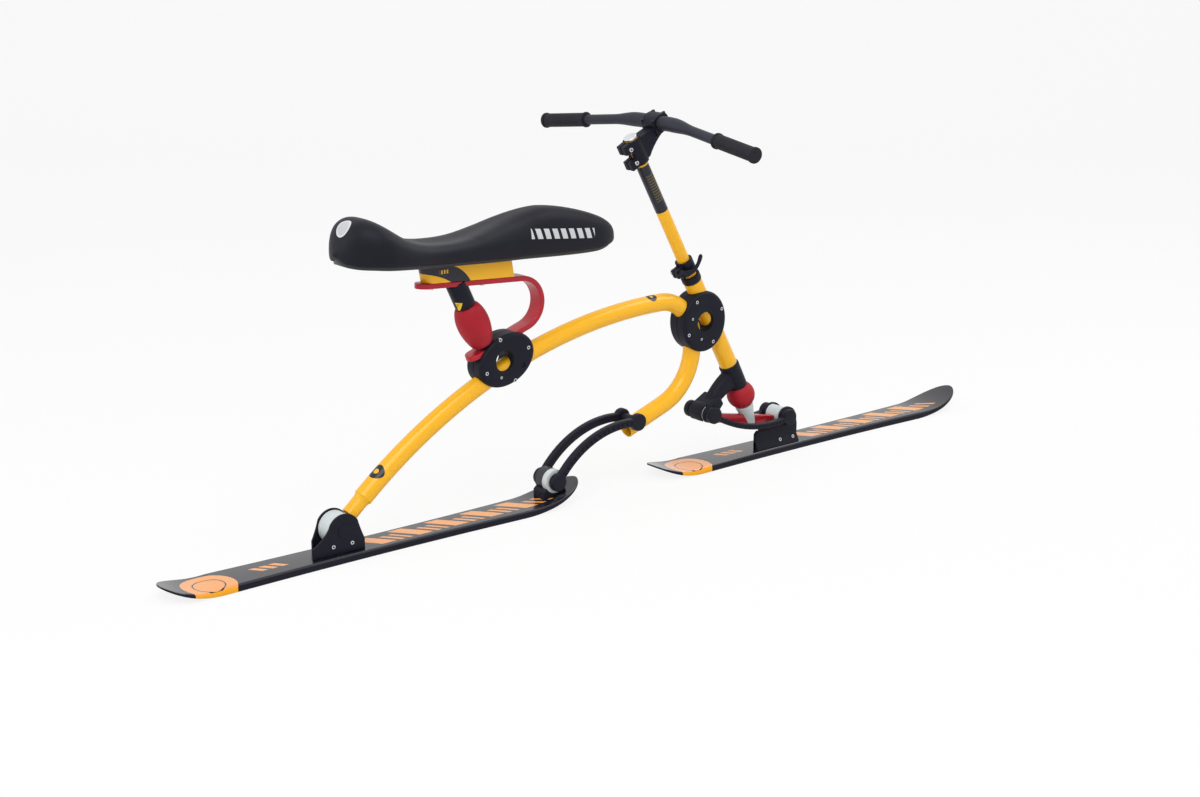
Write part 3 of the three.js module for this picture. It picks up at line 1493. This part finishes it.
function barPoint(y) {
  const past = Math.abs(y) - barStraight;
  const swept = past < 0 ? 0 : Math.min(past, barBend) ** 2 / (2 * barBend) + Math.max(0, past - barBend);
  return new THREE.Vector3(barCentre.x - barBackSweepShare * swept, y, barCentre.y - barDropShare * swept);
}

// The grips lie along the swept ends, so their lengths shrink a little across the bike.
const acrossShare = 1 / Math.hypot(1, barBackSweepShare, barDropShare);
const gripFoot = barHalf - (gripLength + plugLength + fit) * acrossShare;
const barEnd = gripFoot + gripLength * acrossShare;

function handlebar() {
  const taperEnd = barTaperStart + barTaperLength;
  const oneSide = [...barStopShares.map((share) => share * taperEnd), barEnd];
  const stops = [...oneSide.slice(1).reverse().map((stop) => -stop), ...oneSide];
  const radiusAt = (y) => {
    const share = Math.min(1, Math.max(0, (Math.abs(y) - barTaperStart) / barTaperLength));
    const ease = share * share * (3 - 2 * share);
    return (barClampDiameter + (barGripDiameter - barClampDiameter) * ease) / 2;
  };
  const ringAt = (y, wall) => {
    const centre = barPoint(y);
    const side = Math.sign(y) * Math.min(1, Math.max(0, (Math.abs(y) - barStraight) / barBend));
    const tangent = new THREE.Vector3(-barBackSweepShare * side, 1, -barDropShare * side).normalize();
    const up = new THREE.Vector3(0, 0, 1).addScaledVector(tangent, -tangent.z).normalize();
    const across = new THREE.Vector3().crossVectors(up, tangent);
    return Array.from({ length: barSides }, (_, step) => {
      const angle = (2 * Math.PI * step) / barSides;
      const radius = radiusAt(y) - wall;
      return centre.clone()
        .addScaledVector(up, radius * Math.sin(angle))
        .addScaledVector(across, radius * Math.cos(angle));
    });
  };
  return pipe(stops.map((y) => ringAt(y, 0)), stops.map((y) => ringAt(y, barWall)));
}

add('handlebar', handlebar(), paint.black);

// Grips and end plugs are turned about Z, then laid along each end of the bar.
function gripProfile() {
  const bore = barGripDiameter / 2 + fit;
  const outer = gripDiameter / 2;
  const flange = gripFlangeDiameter / 2;
  const [crest, waist] = gripRiseShares;
  const profile = [[bore, 0], [flange, 0], [flange, gripFlangeLength]];
  for (let ring = 0; ring < gripRings; ring += 1) {
    const start = gripFlangeLength + ((gripLength - gripFlangeLength) * ring) / gripRings;
    const pitch = (gripLength - gripFlangeLength) / gripRings;
    profile.push([outer, start + pitch * crest], [outer - gripWaistDepth, start + pitch * waist]);
  }
  profile.push([outer, gripLength], [bore, gripLength], [bore, 0]);
  return profile;
}

function plugProfile() {
  const stem = barGripDiameter / 2 - barWall - fit;
  const flange = gripFlangeDiameter / 2;
  const start = gripLength + fit;
  const end = start + plugLength;
  return [
    [0, start - plugStem],
    [stem, start - plugStem],
    [stem, start],
    [flange, start],
    [flange, end - plugRound],
    [flange - plugRound, end],
    [0, end],
  ];
}

for (const [label, side] of [['left', 1], ['right', -1]]) {
  const end = new THREE.Group();
  end.position.copy(barPoint(side * gripFoot));
  const outwards = new THREE.Vector3(-barBackSweepShare, side, -barDropShare).normalize();
  end.quaternion.setFromUnitVectors(new THREE.Vector3(0, 0, 1), outwards);
  bike.add(end);
  addTo(end, `grip_${label}`, turned(gripProfile(), tubeSides), paint.rubber);
  addTo(end, `bar_plug_${label}`, turned(plugProfile(), tubeSides), paint.rubber);
}

bike.position.x = rearTail - totalLength / 2;

export default bike;
